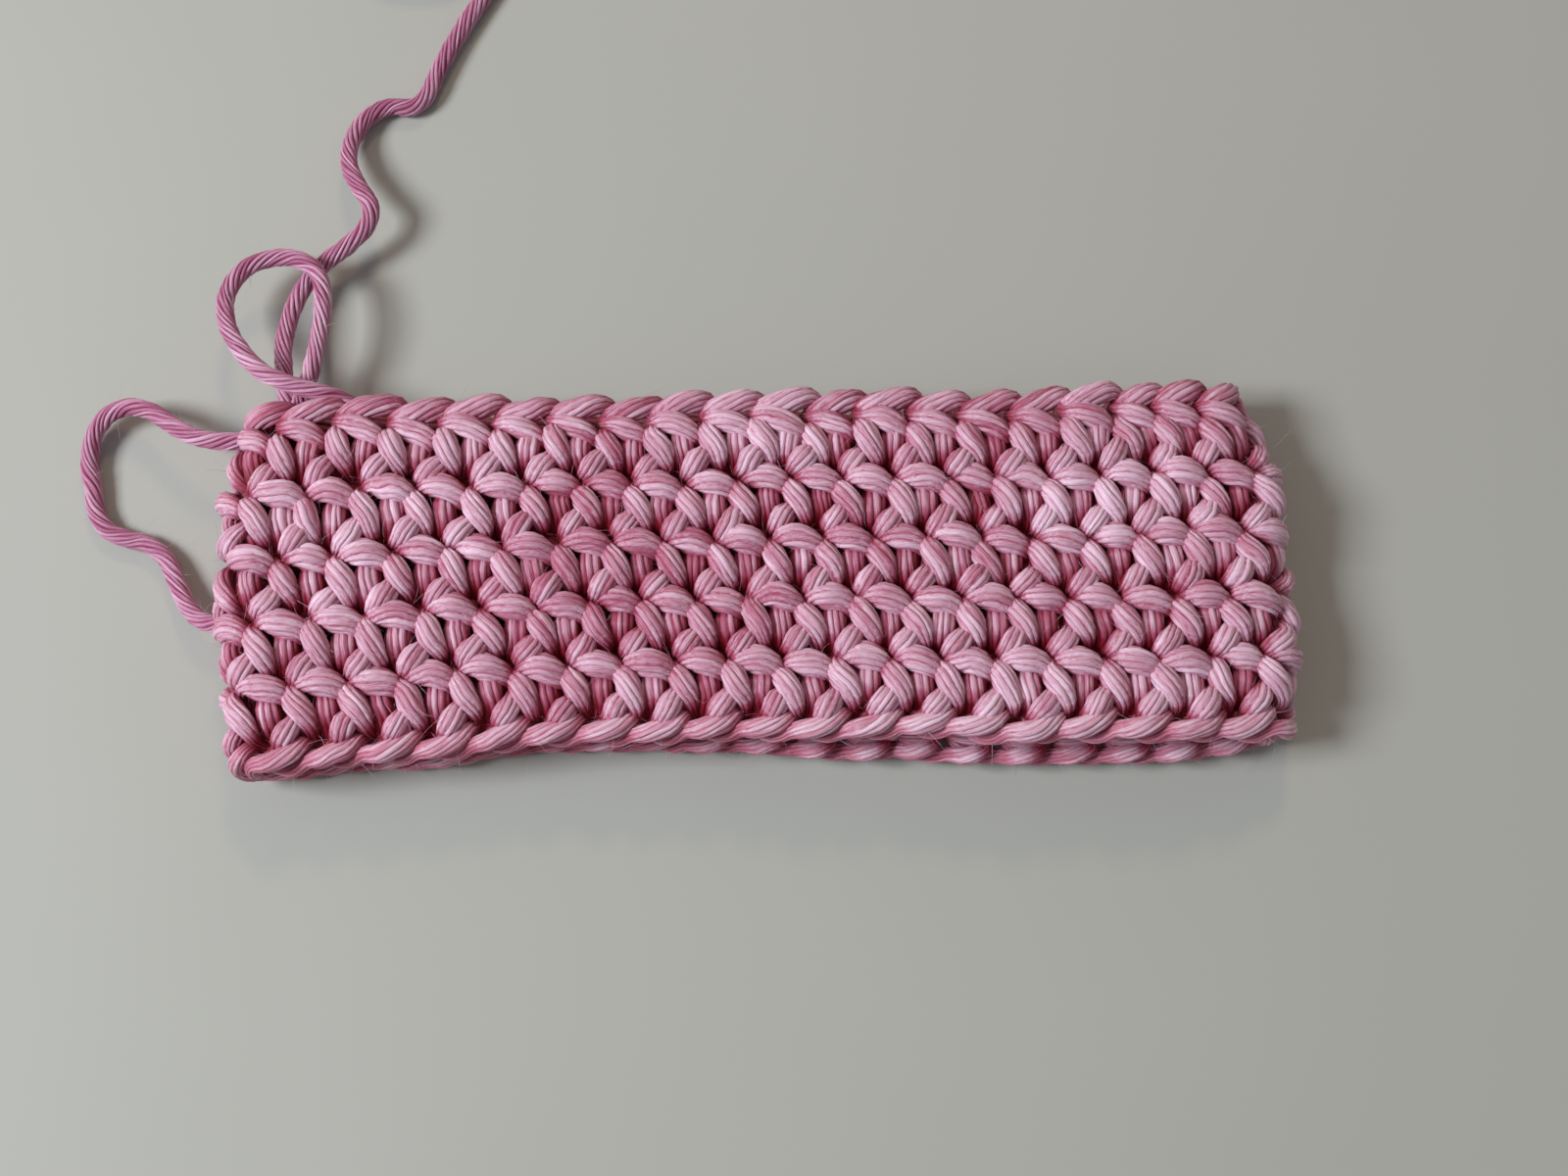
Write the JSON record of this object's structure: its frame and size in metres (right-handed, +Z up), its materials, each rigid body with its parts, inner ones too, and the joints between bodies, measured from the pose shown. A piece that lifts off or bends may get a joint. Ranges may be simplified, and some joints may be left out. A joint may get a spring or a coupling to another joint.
{
  "type": "crocheted band",
  "caption": "Flattened tube of pink cotton single crochet worked in the round, with its live loop, working yarn and starting tail; the tube opens like a cuff.",
  "frame": {"origin": "on the table, under the middle of the flattened band", "axes": "+X along the flattened width to the right fold, +Y along the tube from the foundation chain to the top edge, +Z up from the table"},
  "size_m": [0.1258, 0.1163, 0.009],
  "materials": {
    "stitch_yarn": "soft plied cotton with a slight sheen",
    "edge_yarn": "soft plied cotton with a slight sheen",
    "loose_yarn": "soft plied cotton with a slight sheen"
  },
  "bodies": {
    "back_middle": {"foundation_chain_back_middle": "edge_yarn", "round_1_back_middle": "stitch_yarn", "round_2_back_middle": "stitch_yarn", "round_3_back_middle": "stitch_yarn", "round_4_back_middle": "stitch_yarn", "round_5_back_middle": "stitch_yarn", "working_yarn": "loose_yarn", "working_yarn_coil": "loose_yarn"},
    "back_right": {"foundation_chain_back_right": "edge_yarn", "round_1_back_right": "stitch_yarn", "round_2_back_right": "stitch_yarn", "round_3_back_right": "stitch_yarn", "round_4_back_right": "stitch_yarn", "round_5_back_right": "stitch_yarn"},
    "front_right": {"foundation_chain_front_right": "edge_yarn", "round_1_front_right": "stitch_yarn", "round_2_front_right": "stitch_yarn", "round_3_front_right": "stitch_yarn", "round_4_front_right": "stitch_yarn", "round_5_front_right": "stitch_yarn"},
    "front_middle_right": {"foundation_chain_front_middle_right": "edge_yarn", "round_1_front_middle_right": "stitch_yarn", "round_2_front_middle_right": "stitch_yarn", "round_3_front_middle_right": "stitch_yarn", "round_4_front_middle_right": "stitch_yarn", "round_5_front_middle_right": "stitch_yarn"},
    "back_left": {"foundation_chain_back_left": "edge_yarn", "round_1_back_left": "stitch_yarn", "round_2_back_left": "stitch_yarn", "round_3_back_left": "stitch_yarn", "round_4_back_left": "stitch_yarn", "round_5_back_left": "stitch_yarn"},
    "front_left": {"foundation_chain_front_left": "edge_yarn", "round_1_front_left": "stitch_yarn", "round_2_front_left": "stitch_yarn", "round_3_front_left": "stitch_yarn", "round_4_front_left": "stitch_yarn", "round_5_front_left": "stitch_yarn"},
    "front_middle_left": {"foundation_chain_front_middle_left": "edge_yarn", "round_1_front_middle_left": "stitch_yarn", "round_2_front_middle_left": "stitch_yarn", "round_3_front_middle_left": "stitch_yarn", "round_4_front_middle_left": "stitch_yarn", "round_5_front_middle_left": "stitch_yarn"},
    "right_fold": {"foundation_chain_right_fold": "edge_yarn", "round_1_right_fold": "stitch_yarn", "round_2_right_fold": "stitch_yarn", "round_3_right_fold": "stitch_yarn", "round_4_right_fold": "stitch_yarn", "round_5_right_fold": "stitch_yarn"},
    "left_fold": {"foundation_chain_left_fold": "edge_yarn", "round_1_left_fold": "stitch_yarn", "round_2_left_fold": "stitch_yarn", "round_3_left_fold": "stitch_yarn", "round_4_left_fold": "stitch_yarn", "round_5_left_fold": "stitch_yarn", "working_loop": "loose_yarn", "starting_tail": "loose_yarn"}
  },
  "joints": [
    {"name": "back_right_hinge", "type": "hinge", "parent": "back_middle", "child": "back_right", "pos_m": [0.017, 0, 0.0021], "axis": [0, -1, 0], "range_deg": [0, 60]},
    {"name": "right_fold_lower_hinge", "type": "hinge", "parent": "back_right", "child": "right_fold", "pos_m": [0.05087, 0, 0.0021], "axis": [0, 1, 0], "range_deg": [0, 60]},
    {"name": "right_fold_upper_hinge", "type": "hinge", "parent": "right_fold", "child": "front_right", "pos_m": [0.05087, 0, 0.0069], "axis": [0, 1, 0], "range_deg": [0, 60]},
    {"name": "front_right_hinge", "type": "hinge", "parent": "front_right", "child": "front_middle_right", "pos_m": [0.017, 0, 0.0069], "axis": [0, -1, 0], "range_deg": [0, 60]},
    {"name": "back_left_hinge", "type": "hinge", "parent": "back_middle", "child": "back_left", "pos_m": [-0.017, 0, 0.0021], "axis": [0, 1, 0], "range_deg": [0, 60]},
    {"name": "left_fold_lower_hinge", "type": "hinge", "parent": "back_left", "child": "left_fold", "pos_m": [-0.05087, 0, 0.0021], "axis": [0, -1, 0], "range_deg": [0, 60]},
    {"name": "left_fold_upper_hinge", "type": "hinge", "parent": "left_fold", "child": "front_left", "pos_m": [-0.05087, 0, 0.0069], "axis": [0, -1, 0], "range_deg": [0, 60]},
    {"name": "front_left_hinge", "type": "hinge", "parent": "front_left", "child": "front_middle_left", "pos_m": [-0.017, 0, 0.0069], "axis": [0, 1, 0], "range_deg": [0, 60]}
  ],
  "couplings": [
    {"joint": "right_fold_lower_hinge", "follows": "back_right_hinge", "ratio": 1},
    {"joint": "right_fold_upper_hinge", "follows": "back_right_hinge", "ratio": 1},
    {"joint": "front_right_hinge", "follows": "back_right_hinge", "ratio": 1},
    {"joint": "back_left_hinge", "follows": "back_right_hinge", "ratio": 1},
    {"joint": "left_fold_lower_hinge", "follows": "back_right_hinge", "ratio": 1},
    {"joint": "left_fold_upper_hinge", "follows": "back_right_hinge", "ratio": 1},
    {"joint": "front_left_hinge", "follows": "back_right_hinge", "ratio": 1}
  ]
}
